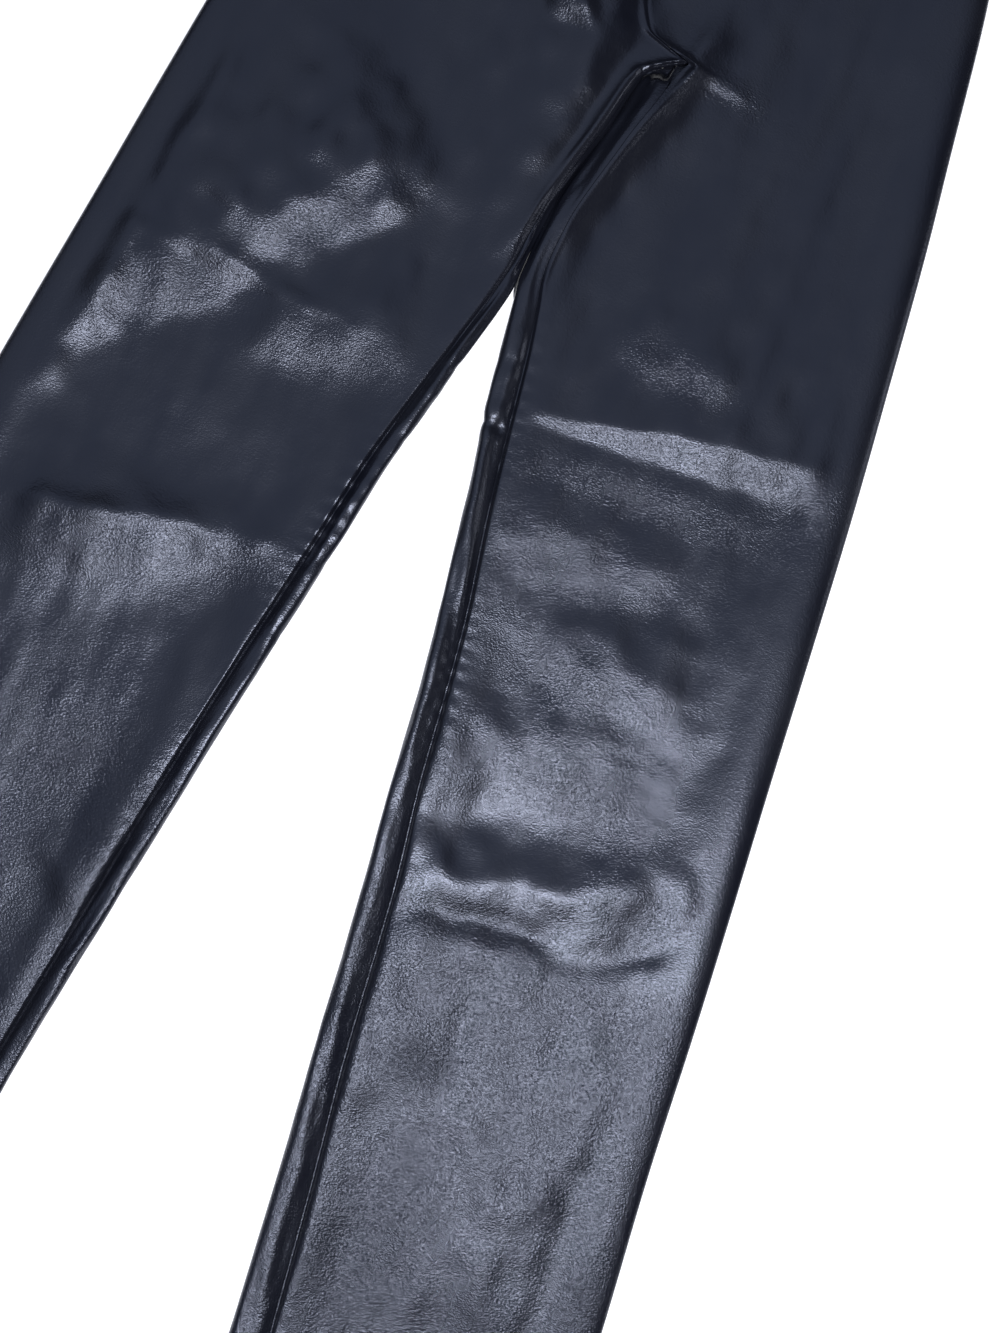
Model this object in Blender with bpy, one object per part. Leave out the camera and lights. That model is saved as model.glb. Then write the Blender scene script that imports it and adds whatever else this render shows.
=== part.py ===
"""Faux leather trousers, laid flat on a table with the front up.

X runs across the garment (the wearer's left leg is at +X), Y runs up to the waist and Z up off
the table. Sizes are in millimetres until a mesh is made. Each leg is a flattened tube: a front
panel from the outer seam over the top to the inseam, and a back panel from there round the inner
edge, under the leg and up to the outer seam. "q" is the distance out from the centre line on the
leg's own side, so both legs share one set of formulas.
"""
import math

import bmesh
import bpy
import numpy as np

MM = 0.001

# Cloth
WALL = 1.2              # one layer of cloth
DOUBLE_WALL = 2.2       # waistband and hem, where the cloth is folded double
GAP = 0.3               # between two pieces at a seam, and between one layer and the next

# Lengths up and down the garment, from the level of the crotch
WAIST_TOP = 245.0
WAIST_SEAM = 207.0      # lower edge of the waistband
FRONT_DIP = 7.0         # the front of the waist is lower than its sides by this much
BACK_RISE = 12.0        # and the back is higher by this much
WAIST_BEND = 110.0      # above here the rows bend to follow the waist
JOIN = 7.0              # where the four seams meet
SADDLE_LOW = 3.0        # the back seam leaves the inseams here
SADDLE_HIGH = 27.0      # and reaches the table here
HEM = -815.0            # at the inner edge
TILT = 28.0             # how much higher a row's outer end is than its inner end, down the leg
TILT_FROM = -20.0
TILT_LENGTH = 150.0
HEM_DEPTH = 25.0
HEM_STEP = 0.8          # the wall doubles over this length

# Heights off the table
LEVEL = 4.8             # the front, where it just lies on the back
EDGE_HEIGHT = 7.8       # the rolled outer edge
EDGE_ROLL = 5.0         # how far in that roll reaches
EDGE_REACH = 24.0       # how far in the edge still lifts the front
SEAM_RISE = 2.7         # the inseam's allowances lift the cloth along it
FRONT_SEAM_RISE = 0.4   # above the crotch, where the front seam is clear of them
SEAM_CLEAR = 50.0       # this far above the crotch point
SEAM_REACH = 26.0
GROOVE = 1.1            # depth of the inseam itself
FRONT_GROOVE = 0.44     # and of the front seam
GROOVE_CLEAR = 30.0
GROOVE_REACH = 2.4
GROOVE_SIDE = 5.5       # a column this far from the seam marks the groove's side
CROTCH_RISE = 5.5       # cloth bunched at the crotch
TUCK = 4.5              # at the crotch's tip the backs' edges start this far under the fronts'
TUCK_FROM = -14.0
CROTCH_AT = (25.0, -12.0)
CROTCH_REACH = (52.0, 60.0)
HEM_RISE = 1.4          # the stiff hem stands open a little
HEM_REACH = 45.0
FADE_AT_EDGE = 16.0     # folds die out over this width beside an outer edge
FADE_AT_SEAM = 12.0     # and over this width beside a seam

# Closure
TAB_LENGTH = 24.0       # the waistband's end, lapped over the other end
TAB_STEP = (2.0, 16.0)  # from here to here the lapped end climbs over the other
TAB_COLUMN_GAP = 3.0    # no other column of the waistband stands closer to that climb
FLY_ROWS = (206.2, 170.0, 130.0, 98.0, 86.0, 79.0, 74.0, 72.0)
FLY_INSET = 0.6         # from the front seam
FLY_WIDTH = 34.0
FLY_ROUND = 98.0        # below here the flap's outer edge curves in to its end
FLY_TIP = 0.11          # share of the width left at the end
FLY_COLUMNS = 5
BUTTON_RADIUS = 8.5
BUTTON_HEIGHT = 2.6
BUTTON_AT = (-11.0, 219.0)
BUTTON_STEPS = 20
# Half its outline, from the middle underneath round to the middle on top: shares of the radius
# and of the height
BUTTON_PROFILE = ((0.0, 0.0), (0.8, 0.0), (1.0, 0.25), (1.0, 0.8), (0.88, 1.0), (0.72, 0.9),
                  (0.6, 0.62), (0.0, 0.62))

STEP = 0.4              # how far to each side the slope across the cloth is taken
SPARE = 6.0             # length that a section runs on past a panel's end
SAMPLES = 48
MERGE = 0.01            # corners closer than this are one


def table(columns, *rows):
    """Named columns of numbers, with the rows put in rising order of the first column."""
    ordered = sorted(rows)
    return {name: np.array([row[i] for row in ordered]) for i, name in enumerate(columns)}


# Outer edge of each leg, measured out from the centre line
OUTER = table(
    ("y", "right", "left"),
    (245, 168.5, 168.5),
    (207, 176.5, 176.5),
    (150, 188.5, 188.5),
    (100, 199.5, 199.5),
    (20, 213.5, 213.5),
    (-40, 223.5, 224.0),
    (-120, 233.0, 236.0),
    (-200, 241.5, 247.5),
    (-280, 250.5, 257.5),
    (-360, 259.0, 267.0),
    (-440, 267.0, 277.0),
    (-520, 275.0, 286.5),
    (-600, 283.0, 295.0),
    (-700, 293.5, 308.0),
    (-850, 309.0, 325.0),
)

# Inner edge of each leg. "crest" is where the top begins to turn down and "edge" how far in the
# turned cloth reaches, both measured out from the centre line (negative past it); "bulge" is how
# round the turn is; "strip" is the length of back panel on top, from the inseam to the crest
# (negative where the inseam lies beyond the crest).
INNER_COLUMNS = ("y", "crest", "edge", "bulge", "strip")
INNER = {
    "right": table(
        INNER_COLUMNS,
        (7, -48.5, -49.2, 3.0, 0.0),
        (3, -41.0, -42.2, 4.0, -2.0),
        (-2, -33.5, -35.7, 4.5, -3.0),
        (-6, -28.0, -31.0, 5.0, -3.5),
        (-11, -22.5, -27.3, 5.5, -4.0),
        (-22, -18.5, -25.5, 5.5, -4.0),
        (-42, -14.5, -22.2, 6.0, -4.0),
        (-60, -10.0, -18.2, 6.0, -3.0),
        (-84, -4.5, -12.6, 6.0, -2.0),
        (-109, -3.2, -9.4, 5.5, 0.0),
        (-145, -3.0, -8.0, 5.0, 4.0),
        (-160, -2.0, -7.0, 5.0, 5.5),
        (-200, 5.5, 0.5, 5.0, 7.8),
        (-280, 21.5, 16.5, 5.0, 12.0),
        (-360, 33.0, 28.0, 5.0, 13.5),
        (-440, 45.0, 40.0, 5.0, 12.0),
        (-520, 55.5, 50.5, 5.0, 13.0),
        (-600, 66.5, 61.5, 5.0, 12.0),
        (-700, 79.0, 74.0, 5.0, 12.7),
        (-850, 97.0, 92.0, 5.0, 13.5),
    ),
    "left": table(
        INNER_COLUMNS,
        (7, 51.0, 41.0, 5.0, -1.5),
        (3, 49.5, 38.1, 5.0, -2.0),
        (-2, 48.0, 33.0, 5.5, -2.0),
        (-6, 47.0, 28.4, 6.0, -2.0),
        (-11, 45.5, 26.0, 6.5, -2.0),
        (-22, 43.0, 25.4, 7.0, -2.0),
        (-42, 37.5, 22.3, 6.5, -2.0),
        (-60, 32.5, 18.4, 6.0, -1.0),
        (-84, 26.0, 12.9, 6.0, 0.0),
        (-109, 19.0, 10.1, 5.5, 3.0),
        (-145, 13.9, 8.9, 5.0, 8.0),
        (-160, 16.0, 11.0, 5.0, 9.5),
        (-200, 22.0, 17.0, 5.0, 11.8),
        (-280, 38.0, 33.0, 5.0, 10.0),
        (-360, 53.0, 48.0, 5.0, 11.5),
        (-440, 64.5, 59.5, 5.0, 11.5),
        (-520, 76.0, 71.0, 5.0, 14.0),
        (-600, 86.5, 81.5, 5.0, 14.0),
        (-700, 100.0, 95.0, 5.0, 16.5),
        (-850, 118.0, 113.0, 5.0, 21.0),
    ),
}

# Where the two fronts meet on top, and the two backs underneath: "x" is on the garment, +X being
# the wearer's left. The crotch is twisted to that side.
FRONT_SEAM = table(
    ("y", "x"), (245, 0.0), (60, 0.0), (34, 10.5), (22, 17.0), (15, 23.0), (11, 35.0), (7, 49.6)
)
BACK_SEAM = table(("y", "x"), (245, 0.0), (90, 0.0), (60, 4.0), (40, 11.0), (27, 17.0))

# Largest folds in the fronts: a crest from (x0, y0) to (x1, y1), bowed towards the waist in the
# middle by "bow", falling away over "above" on its waist side and "below" on its hem side.
FOLDS = table(
    ("x0", "y0", "x1", "y1", "bow", "above", "below", "rise"),
    (-215, -262, -60, -128, 0, 30, 24, 2.6),     # right thigh, slanting up to the crotch
    (-228, -214, -20, -216, 10, 9, 22, 1.8),     # right thigh, long crease across
    (-232, -385, -45, -362, 12, 16, 42, 3.2),    # right knee
    (-215, -520, -110, -455, 0, 30, 26, 1.6),
    (20, 42, 205, 30, 6, 18, 16, 1.4),           # left hip
    (34, -232, 246, -205, 8, 7, 20, 3.2),        # left thigh, sharp crease across
    (50, -300, 200, -292, 4, 16, 22, 2.0),
    (68, -338, 214, -362, 8, 20, 24, 2.8),       # above the left knee
    (60, -402, 235, -392, 6, 22, 40, 2.4),       # left knee
    (92, -490, 262, -440, -16, 22, 17, 3.4),     # below the left knee, hooking up to the edge
    (100, -640, 290, -610, 0, 70, 60, 1.2),      # left shin
)

SIDES = {"right": -1, "left": 1}

# Heights of the rows down each panel
PANEL_ROWS = (WAIST_SEAM - GAP / 2, 170, 130, 98, 72, 50, 34, 22, 15, 11, JOIN, SADDLE_LOW,
              -2, -6, -11, -22, -36, -54, -76, -100, -128, -158, -188, -206, -218, -234, -255,
              -278, -302, -324, -342, -362, -386, -412, -440, -468, -490, -508, -530, -565, -610,
              -660, -710, -758, HEM + HEM_DEPTH, HEM + HEM_DEPTH - HEM_STEP, HEM)
BAND_ROWS = (WAIST_TOP, WAIST_SEAM + GAP / 2)
FRONT_DEPTH = 9         # columns over the flat of a front panel
BACK_DEPTH = 4          # and under the flat of a back panel
# How a back panel's columns are shared out from its seam to the foot of the inner wall, a length
# that is called WRAP where the panel lies flat
WALL_SHARES = np.array((0.0, 0.2, 0.42, 0.56, 0.71, 0.85, 1.0))
WRAP = 26.0


def curve(data, column, y):
    """One column of a table at y, on a smooth curve that never overshoots its rows."""
    ys = data["y"]
    values = data[column]
    steps = np.diff(ys)
    slopes = np.diff(values) / steps
    product = slopes[:-1] * slopes[1:]
    total = np.where(slopes[:-1] + slopes[1:] == 0, 1.0, slopes[:-1] + slopes[1:])
    inside = np.where(product > 0, 2 * product / total, 0.0)
    tangents = np.concatenate((slopes[:1], inside, slopes[-1:]))
    at = np.clip(y, ys[0], ys[-1])
    i = np.clip(np.searchsorted(ys, at) - 1, 0, len(steps) - 1)
    h = steps[i]
    t = (at - ys[i]) / h
    return (values[i] * (1 + 2 * t) * (1 - t) ** 2 + values[i + 1] * t * t * (3 - 2 * t)
            + h * tangents[i] * t * (1 - t) ** 2 + h * tangents[i + 1] * t * t * (t - 1))


def ease(t):
    """0 to 1 with flat ends."""
    t = np.clip(t, 0.0, 1.0)
    return t * t * (3 - 2 * t)


def bell(t):
    """1 at 0, falling off smoothly on both sides."""
    return np.exp(-t * t)


def outer_edge(side, y):
    """Outer end of a leg's row, where the row's tilt has lifted it."""
    return curve(OUTER, side, y + row_tilt(y))


def row_tilt(y):
    """How much higher a row's outer end is than its inner end."""
    return TILT * ease((TILT_FROM - y) / TILT_LENGTH)


def row_height(side, q, y, dip):
    """Height on the garment of a point at q in the row of height y."""
    inner = curve(INNER[side], "crest", y)
    outer = outer_edge(side, y)
    tilt = row_tilt(y) * (q - inner) / (outer - inner)
    bend = dip * (1 - (q / outer) ** 2) * ease((y - WAIST_BEND) / (WAIST_SEAM - WAIST_BEND))
    return y + tilt + bend


def seam_line(side, y):
    """Where a front panel ends on top: the inseam below the crotch point, the front seam above."""
    if y > JOIN:
        return SIDES[side] * curve(FRONT_SEAM, "x", y)
    return curve(INNER[side], "crest", y) + max(curve(INNER[side], "strip", y), 0.0)


def relief(x, y):
    """Height that the folds add at a place on the garment."""
    total = np.zeros_like(x)
    for x0, y0, x1, y1, bow, above, below, rise in zip(*FOLDS.values()):
        length = math.hypot(x1 - x0, y1 - y0)
        along = ((x - x0) * (x1 - x0) + (y - y0) * (y1 - y0)) / length
        across = ((y - y0) * (x1 - x0) - (x - x0) * (y1 - y0)) / length
        t = along / length
        across = across - bow * 4 * t * (1 - t)
        width = np.where(across > 0, above, below)
        total += rise * bell(across / width) * ease(4 * t) * ease(4 - 4 * t)
    return total


def top_height(side, q, y):
    """Height of the front over the table at q in the row of height y."""
    garment_y = row_height(side, q, y, -FRONT_DIP)
    x = SIDES[side] * q
    from_edge = outer_edge(side, y) - EDGE_ROLL - q
    from_seam = np.abs(q - seam_line(side, y))
    seam_rise = SEAM_RISE + (FRONT_SEAM_RISE - SEAM_RISE) * ease((y - JOIN) / SEAM_CLEAR)
    groove = GROOVE + (FRONT_GROOVE - GROOVE) * ease((y - JOIN) / GROOVE_CLEAR)
    inside = ease(from_edge / FADE_AT_EDGE) * ease(from_seam / FADE_AT_SEAM)
    height = LEVEL + (EDGE_HEIGHT - LEVEL) * bell(from_edge / EDGE_REACH)
    height += seam_rise * bell(from_seam / SEAM_REACH) - groove * bell(from_seam / GROOVE_REACH)
    height += CROTCH_RISE * bell(np.hypot((x - CROTCH_AT[0]) / CROTCH_REACH[0],
                                          (garment_y - CROTCH_AT[1]) / CROTCH_REACH[1]))
    height += HEM_RISE * bell((y - HEM) / HEM_REACH)
    return height + inside * relief(x, garment_y)


class Section:
    """A line round part of a leg at one height, as q and z over the distance along it."""

    def __init__(self, points):
        """points: the (q, z) arrays of each stretch, end to end."""
        self.q = np.concatenate([stretch[0] for stretch in points])
        self.z = np.concatenate([stretch[1] for stretch in points])
        steps = np.hypot(np.diff(self.q), np.diff(self.z))
        self.s = np.concatenate(([0.0], np.cumsum(steps)))
        ends = np.cumsum([len(stretch[0]) for stretch in points]) - 1
        self.ends = self.s[ends]

    def at(self, s):
        """The q and z just before, at and just after the distances s along the line."""
        around = np.stack((s - STEP, s, s + STEP))
        return np.stack((np.interp(around, self.s, self.q), np.interp(around, self.s, self.z)))


def outer_roll(side, y, first, last):
    """The rolled outer edge between two angles: -90 on the table, 0 outermost and 90 on top."""
    edge = outer_edge(side, y)
    height = top_height(side, edge - EDGE_ROLL, y)
    angle = np.radians(np.linspace(first, last, 13))
    return edge - EDGE_ROLL * (1 - np.cos(angle)), height / 2 * (1 + np.sin(angle))


def upper_side(side, y, first, last):
    """The top of a leg between two values of q."""
    q = np.linspace(first, last, SAMPLES)
    return q, top_height(side, q, y)


def inner_wall(side, y):
    """The inner edge's cloth, from the crest down to the foot, where it meets the table. The
    foot is placed so that the turn reaches just to the edge."""
    crest, edge, bulge = (curve(INNER[side], name, y) for name in ("crest", "edge", "bulge"))
    foot = edge + bulge ** 2 / (crest - edge)
    height = top_height(side, crest, y)
    angle = np.linspace(0, math.pi, 25)
    q = crest + (foot - crest) * (1 - np.cos(angle)) / 2 - bulge * np.sin(angle)
    return q, height / 2 * (1 + np.cos(angle))


def front_columns(side, y):
    """Points across a front panel, from the outer seam to its inner edge."""
    crest = curve(INNER[side], "crest", y)
    end = crest if y <= JOIN else seam_line(side, y) - SPARE
    line = [outer_roll(side, y, -90, 0), outer_roll(side, y, 0, 90),
            upper_side(side, y, outer_edge(side, y) - EDGE_ROLL, end)]
    if y <= JOIN:
        line.append(inner_wall(side, y))
    section = Section(line)
    outermost, roll_end, top_end = section.ends[:3]
    beyond = curve(INNER[side], "strip", y) if y <= JOIN else SPARE
    seam = top_end - beyond
    steps = np.concatenate((
        (outermost + GAP / 2, (outermost + roll_end) / 2),
        np.linspace(roll_end, seam - GROOVE_SIDE, FRONT_DEPTH),
        (seam - half_gap(y),),
    ))
    return section.at(steps)


def half_gap(y):
    """Half the gap at a front's inner seam, measured across the garment: where the front seam
    runs almost across, the pieces are further apart that way."""
    if y <= JOIN:
        return GAP / 2
    slope = (curve(FRONT_SEAM, "x", y + 1) - curve(FRONT_SEAM, "x", y - 1)) / 2
    return GAP / 2 * math.hypot(1, slope)


def back_columns(side, y):
    """Points across a back panel, from its inner seam to the outer seam. Between the crotch
    point and the table the seam comes down evenly."""
    if y <= SADDLE_LOW:
        return wrapped_back(side, y)
    if y >= SADDLE_HIGH:
        return flat_back(side, y)
    share = (y - SADDLE_LOW) / (SADDLE_HIGH - SADDLE_LOW)
    return wrapped_back(side, SADDLE_LOW) * (1 - share) + flat_back(side, SADDLE_HIGH) * share


def wrapped_back(side, y):
    """Points across a back panel that comes up round the inner edge."""
    crest, strip = (curve(INNER[side], name, y) for name in ("crest", "strip"))
    wall = inner_wall(side, y)
    section = Section([
        upper_side(side, y, crest + max(strip, 0) + SPARE, crest),
        wall,
        (np.array((wall[0][-1], outer_edge(side, y) - EDGE_ROLL)), np.zeros(2)),
        outer_roll(side, y, -90, 0),
        outer_roll(side, y, 0, 30),
    ])
    tuck = TUCK * ease((y - TUCK_FROM) / (SADDLE_LOW - TUCK_FROM))
    return share_back(section, section.ends[0] - strip + GAP / 2 + tuck, section.ends[1])


def flat_back(side, y):
    """Points across a back panel that lies flat as far as the back seam."""
    inner = SIDES[side] * curve(BACK_SEAM, "x", y)
    edge = outer_edge(side, y)
    section = Section([
        (np.array((inner - SPARE, edge - EDGE_ROLL)), np.zeros(2)),
        outer_roll(side, y, -90, 0),
        outer_roll(side, y, 0, 30),
    ])
    return share_back(section, SPARE + GAP / 2, SPARE + WRAP)


def share_back(section, seam, foot):
    """A back panel's columns along a section, from its seam past its foot to the outer seam."""
    table_end, outermost = section.ends[-3:-1]
    steps = np.concatenate((
        seam + (foot - seam) * WALL_SHARES,
        np.linspace(foot, table_end, BACK_DEPTH + 1)[1:],
        ((table_end + outermost) / 2, outermost - GAP / 2),
    ))
    return section.at(steps)


def place(side, columns, y, dip):
    """Points on the garment, just before, at and just after each of one row's columns."""
    q, z = columns
    return np.stack((SIDES[side] * q, row_height(side, q, y, dip), z), axis=-1)


class Cloth:
    """A grid of points on a cloth's outer face and one on its inner face."""

    def __init__(self, side, columns, rows, dip, walls):
        """columns gives the points across one row, from the leg and the row's height."""
        grid = np.array([place(side, columns(side, y), y, dip) for y in rows])
        self.outside = grid[:, 1]
        across = grid[:, 2] - grid[:, 0]
        down = np.gradient(self.outside, axis=0)
        out = np.cross(across, down) * SIDES[side]
        self.out = out / np.linalg.norm(out, axis=-1, keepdims=True)
        self.inside = self.outside - self.out * np.reshape(walls, (-1, 1, 1))

    def near(self, y, x):
        """A point near the inner edge and its outward direction, by its row's height and by x."""
        row = np.interp(-y, np.negative(PANEL_ROWS), range(len(PANEL_ROWS)))
        i = min(int(row), len(PANEL_ROWS) - 2)
        points, outs = (grid[i] * (i + 1 - row) + grid[i + 1] * (row - i)
                        for grid in (self.outside, self.out))
        point, out = (np.array([np.interp(-x, -points[:, 0], values[:, k]) for k in range(3)])
                      for values in (points, outs))
        return point, out / np.linalg.norm(out)


def material(name, colour, roughness):
    """A plain Principled material."""
    made = bpy.data.materials.new(name)
    made.use_nodes = True
    shader = made.node_tree.nodes["Principled BSDF"]
    shader.inputs["Base Color"].default_value = (*colour, 1.0)
    shader.inputs["Roughness"].default_value = roughness
    return made


def add_object(name, mesh, finish):
    """Link a mesh to the scene as a named object."""
    mesh.materials.append(finish)
    thing = bpy.data.objects.new(name, mesh)
    bpy.context.collection.objects.link(thing)
    return thing


def add_shell(name, outside, inside, turn, finish):
    """A closed wall of cloth between two grids of points, as a named object."""
    rows, columns = outside.shape[:2]
    size = rows * columns
    corners = np.concatenate((outside.reshape(-1, 3), inside.reshape(-1, 3)))
    faces = []
    for i in range(rows - 1):
        for j in range(columns - 1):
            a = i * columns + j
            quad = (a, a + 1, a + columns + 1, a + columns)
            faces.append(quad)
            faces.append(tuple(size + k for k in reversed(quad)))
    border = ([(0, j) for j in range(columns)]
              + [(i, columns - 1) for i in range(1, rows)]
              + [(rows - 1, j) for j in range(columns - 2, -1, -1)]
              + [(i, 0) for i in range(rows - 2, 0, -1)])
    ring = [i * columns + j for i, j in border]
    for a, b in zip(ring, ring[1:] + ring[:1]):
        faces.append((b, a, size + a, size + b))
    if turn < 0:
        faces = [tuple(reversed(face)) for face in faces]
    mesh = bpy.data.meshes.new(name)
    mesh.from_pydata([tuple(c) for c in corners * MM], [], faces)
    mesh.update()
    return add_object(name, mesh, finish)


def panel(side, columns, dip):
    """The cloth of a front or back panel."""
    walls = [DOUBLE_WALL if y < HEM + HEM_DEPTH else WALL for y in PANEL_ROWS]
    return Cloth(side, columns, PANEL_ROWS, dip, walls)


def band(side, columns, dip):
    """The cloth of a stretch of waistband."""
    return Cloth(side, columns, BAND_ROWS, dip, [DOUBLE_WALL] * len(BAND_ROWS))


def lapped_band(cloth):
    """The wearer's left end of the front waistband, lengthened into a tab that climbs over the
    other end and lies on it."""
    low, high = TAB_STEP
    along = np.array((high, (low + high) / 2, low, 0.0, -TAB_LENGTH / 2, -TAB_LENGTH))
    keep = cloth.outside[0, :, 0] > high + TAB_COLUMN_GAP
    end, out = (np.repeat(grid[:, -1:], len(along), axis=1) for grid in (cloth.outside, cloth.out))
    end[:, :, 0] = along
    end[:, :, 2] += (DOUBLE_WALL + GAP) * ease((high - along) / (high - low))
    outside = np.concatenate((cloth.outside[:, keep], end), axis=1)
    out = np.concatenate((cloth.out[:, keep], out), axis=1)
    return outside, outside - out * DOUBLE_WALL


def build_fly(front, finish):
    """The fly flap: a strip beside the front seam, on the wearer's left, rounded off below. Its
    points are the front's own, moved out."""
    seam_x = front.outside[0, -1, 0]
    lines = []
    for y in FLY_ROWS:
        fall = max(FLY_ROUND - y, 0.0) / (FLY_ROUND - FLY_ROWS[-1])
        width = FLY_WIDTH * max(math.sqrt(1 - fall ** 2), FLY_TIP)
        lines.append([front.near(y, x) for x in
                      seam_x + FLY_INSET + width * np.linspace(1, 0, FLY_COLUMNS)])
    points, outs = (np.array([[pair[k] for pair in line] for line in lines]) for k in (0, 1))
    add_shell("fly_flap", points + outs * (GAP + WALL), points + outs * GAP, 1, finish)


def build_button(height, finish):
    """A flat turned button with a raised rim, its underside at this height."""
    maker = bmesh.new()
    ring = [maker.verts.new((r * BUTTON_RADIUS * MM, 0, z * BUTTON_HEIGHT * MM))
            for r, z in BUTTON_PROFILE]
    edges = [maker.edges.new(pair) for pair in zip(ring, ring[1:])]
    bmesh.ops.spin(maker, geom=ring + edges, cent=(0, 0, 0), axis=(0, 0, 1),
                   angle=2 * math.pi, steps=BUTTON_STEPS, use_merge=True)
    bmesh.ops.remove_doubles(maker, verts=maker.verts, dist=MERGE * MM)
    bmesh.ops.recalc_face_normals(maker, faces=maker.faces)
    mesh = bpy.data.meshes.new("button")
    maker.to_mesh(mesh)
    maker.free()
    button = add_object("button", mesh, finish)
    button.location = (BUTTON_AT[0] * MM, BUTTON_AT[1] * MM, height * MM)


def main():
    for thing in list(bpy.data.objects):
        bpy.data.objects.remove(thing, do_unlink=True)
    leather = material("faux_leather", (0.016, 0.018, 0.024), 0.38)
    resin = material("button_resin", (0.012, 0.013, 0.016), 0.3)

    fronts = {}
    for side, turn in SIDES.items():
        front = panel(side, front_columns, -FRONT_DIP)
        back = panel(side, back_columns, BACK_RISE)
        add_shell("front_" + side, front.outside, front.inside, turn, leather)
        add_shell("back_" + side, back.outside, back.inside, turn, leather)
        fronts[side] = front

    right = band("right", front_columns, -FRONT_DIP)
    add_shell("waistband_front_right", right.outside, right.inside, -1, leather)
    tab, tab_inside = lapped_band(band("left", front_columns, -FRONT_DIP))
    add_shell("waistband_front_left", tab, tab_inside, 1, leather)
    halves = [band(side, back_columns, BACK_RISE) for side in SIDES]
    outside, inside = (
        np.concatenate((getattr(halves[0], face)[:, ::-1], getattr(halves[1], face)), axis=1)
        for face in ("outside", "inside"))
    add_shell("waistband_back", outside, inside, 1, leather)

    build_fly(fronts["left"], leather)
    build_button(tab[:, -1, 2].max() + GAP, resin)
    centre()


def centre():
    """Move everything so that it stands over the origin."""
    things = list(bpy.data.objects)
    corners = np.array([thing.matrix_basis @ vertex.co
                        for thing in things for vertex in thing.data.vertices])
    middle = (corners.min(axis=0) + corners.max(axis=0)) / 2
    for thing in things:
        thing.location.x -= middle[0]
        thing.location.y -= middle[1]


main()
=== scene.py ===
"""Looks of the faux leather trousers: fine cloth over the CAD model, its materials and its light.

Shapes are worked out in millimetres in the garment's own frame (x across, from the centre line
to the wearer's left at +x; y up to the waist, from the level of the crotch; z off the table) and
moved to the CAD model's frame in metres at the end. Each leg is a flattened tube: a front panel
from the outer seam over the top to the inseam, and a back panel from there round the inner edge,
under the leg and up to the outer seam. "q" is the distance out from the centre line on the leg's
own side, so both legs share one set of formulas.
"""
import math

import bmesh
import bpy
import numpy as np
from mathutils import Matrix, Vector


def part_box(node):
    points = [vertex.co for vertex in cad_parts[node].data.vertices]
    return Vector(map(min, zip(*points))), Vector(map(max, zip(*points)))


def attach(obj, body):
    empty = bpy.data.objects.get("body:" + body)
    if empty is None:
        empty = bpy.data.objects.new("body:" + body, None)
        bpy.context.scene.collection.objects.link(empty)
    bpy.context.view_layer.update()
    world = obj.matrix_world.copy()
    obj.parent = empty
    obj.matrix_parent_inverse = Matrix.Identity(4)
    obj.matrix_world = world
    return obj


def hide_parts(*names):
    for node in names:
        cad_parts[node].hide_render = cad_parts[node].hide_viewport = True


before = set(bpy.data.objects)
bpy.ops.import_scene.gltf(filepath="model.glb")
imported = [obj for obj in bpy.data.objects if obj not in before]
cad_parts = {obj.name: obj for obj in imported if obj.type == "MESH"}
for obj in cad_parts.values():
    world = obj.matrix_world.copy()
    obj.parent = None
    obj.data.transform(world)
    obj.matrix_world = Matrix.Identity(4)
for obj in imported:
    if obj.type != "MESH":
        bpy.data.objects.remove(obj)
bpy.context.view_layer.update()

MM = 0.001
BODY = "root"
SIDES = {"right": -1, "left": 1}

# ---------------- sizes; the outlines and the sections follow the CAD model

WALL = 1.2  # one layer of cloth
DOUBLE_WALL = 2.2  # waistband and hem, where the cloth is folded double
GAP = 0.3  # between two pieces at a seam

WAIST_TOP = 245.0
WAIST_SEAM = 207.0  # lower edge of the waistband
FRONT_DIP = 7.0  # the front of the waist is lower than its sides by this much
BACK_RISE = 12.0  # and the back is higher by this much
WAIST_BEND = 110.0  # above here the rows bend to follow the waist
JOIN = 7.0  # where the four seams meet
SADDLE_LOW = 3.0  # the back seam leaves the inseams here
SADDLE_HIGH = 27.0  # and reaches the table here
HEM = -815.0  # at the inner edge
TILT = 28.0  # how much higher a row's outer end is than its inner end, down the leg
TILT_FROM = -20.0
TILT_LENGTH = 150.0
HEM_DEPTH = 25.0

LEVEL = 4.8  # the front, where it just lies on the back
LEVEL_MIN = 3.3  # the lowest that a trough in the front may reach
EDGE_HEIGHT = 8.2  # the rolled outer edge
EDGE_ROLL = 16.0  # how far in that roll reaches
EDGE_REACH = 20.0  # how far in the edge still lifts the front
GROOVE_CHANGE = 50.0  # the inseams' grooves become the front seam's over this height
SEAM_REACH = 26.0  # how far from a seam its allowances lift the cloth
SEAM_CREST = 9.0  # at the right knee and below, that lift is highest this far from the seam
SEAM_SHOULDER = 26.0  # and falls towards the seam over this length
SEAM_CREST_FROM = -400.0
SEAM_CREST_FADE = 120.0
SEAM_REACH_HIGH = {"right": 5.5, "left": 12.0}  # beside the crotch that lift is narrower
SEAM_REACH_FROM = -190.0
SEAM_REACH_FADE = 100.0
STRIP_POWER = 1.5  # how soon the strip of back panel on top climbs out of the groove
CROTCH_RISE = 5.0  # cloth bunched at the crotch
FLARE = 6.0  # beside the crotch the left leg's cloth runs this far under the right's
FLARE_BETWEEN = (-170.0, -4.0)
FLARE_FADE = 14.0
FLARE_POWER = 6  # most of that is near the table
TUCK = 4.5  # at the crotch's tip the backs' edges start this far under the fronts'
TUCK_FROM = -14.0
CROTCH_AT = (25.0, -12.0)
CROTCH_REACH = (52.0, 60.0)
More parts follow.
